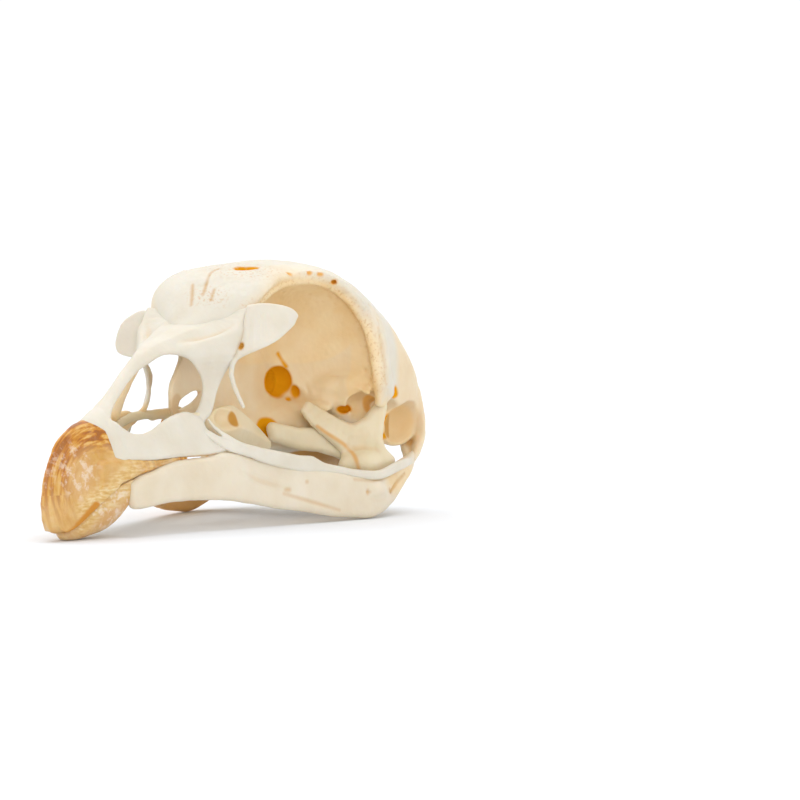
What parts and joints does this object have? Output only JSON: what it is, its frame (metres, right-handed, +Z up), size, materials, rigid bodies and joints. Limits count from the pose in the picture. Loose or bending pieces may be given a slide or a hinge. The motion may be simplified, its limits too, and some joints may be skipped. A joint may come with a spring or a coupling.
{
  "type": "rooster skull",
  "caption": "Dry bird skull with its lower jaw in place: short hooked horn-covered beak, open nostrils and large eye sockets, resting on its jaw.",
  "frame": {"origin": "on the surface it rests on, under the middle of its bounding box", "axes": "the beak points along -Y, +X is the bird's left and +Z is up"},
  "size_m": [0.0332, 0.0806, 0.036],
  "materials": {
    "bone": "dry, cream white bone, warmer and tan inside the eye sockets",
    "horn_sheath": "translucent amber horn with brown streaks and pale flakes"
  },
  "bodies": {
    "root": {"neurocranium": "bone", "upper_beak": "bone", "upper_beak_sheath": "horn_sheath", "mandible": "bone", "lower_beak_sheath": "horn_sheath", "lacrimal_left": "bone", "lacrimal_right": "bone", "jugal_left": "bone", "jugal_right": "bone", "palatine_left": "bone", "palatine_right": "bone", "pterygoid_left": "bone", "pterygoid_right": "bone", "quadrate_left": "bone", "quadrate_right": "bone"}
  },
  "joints": []
}
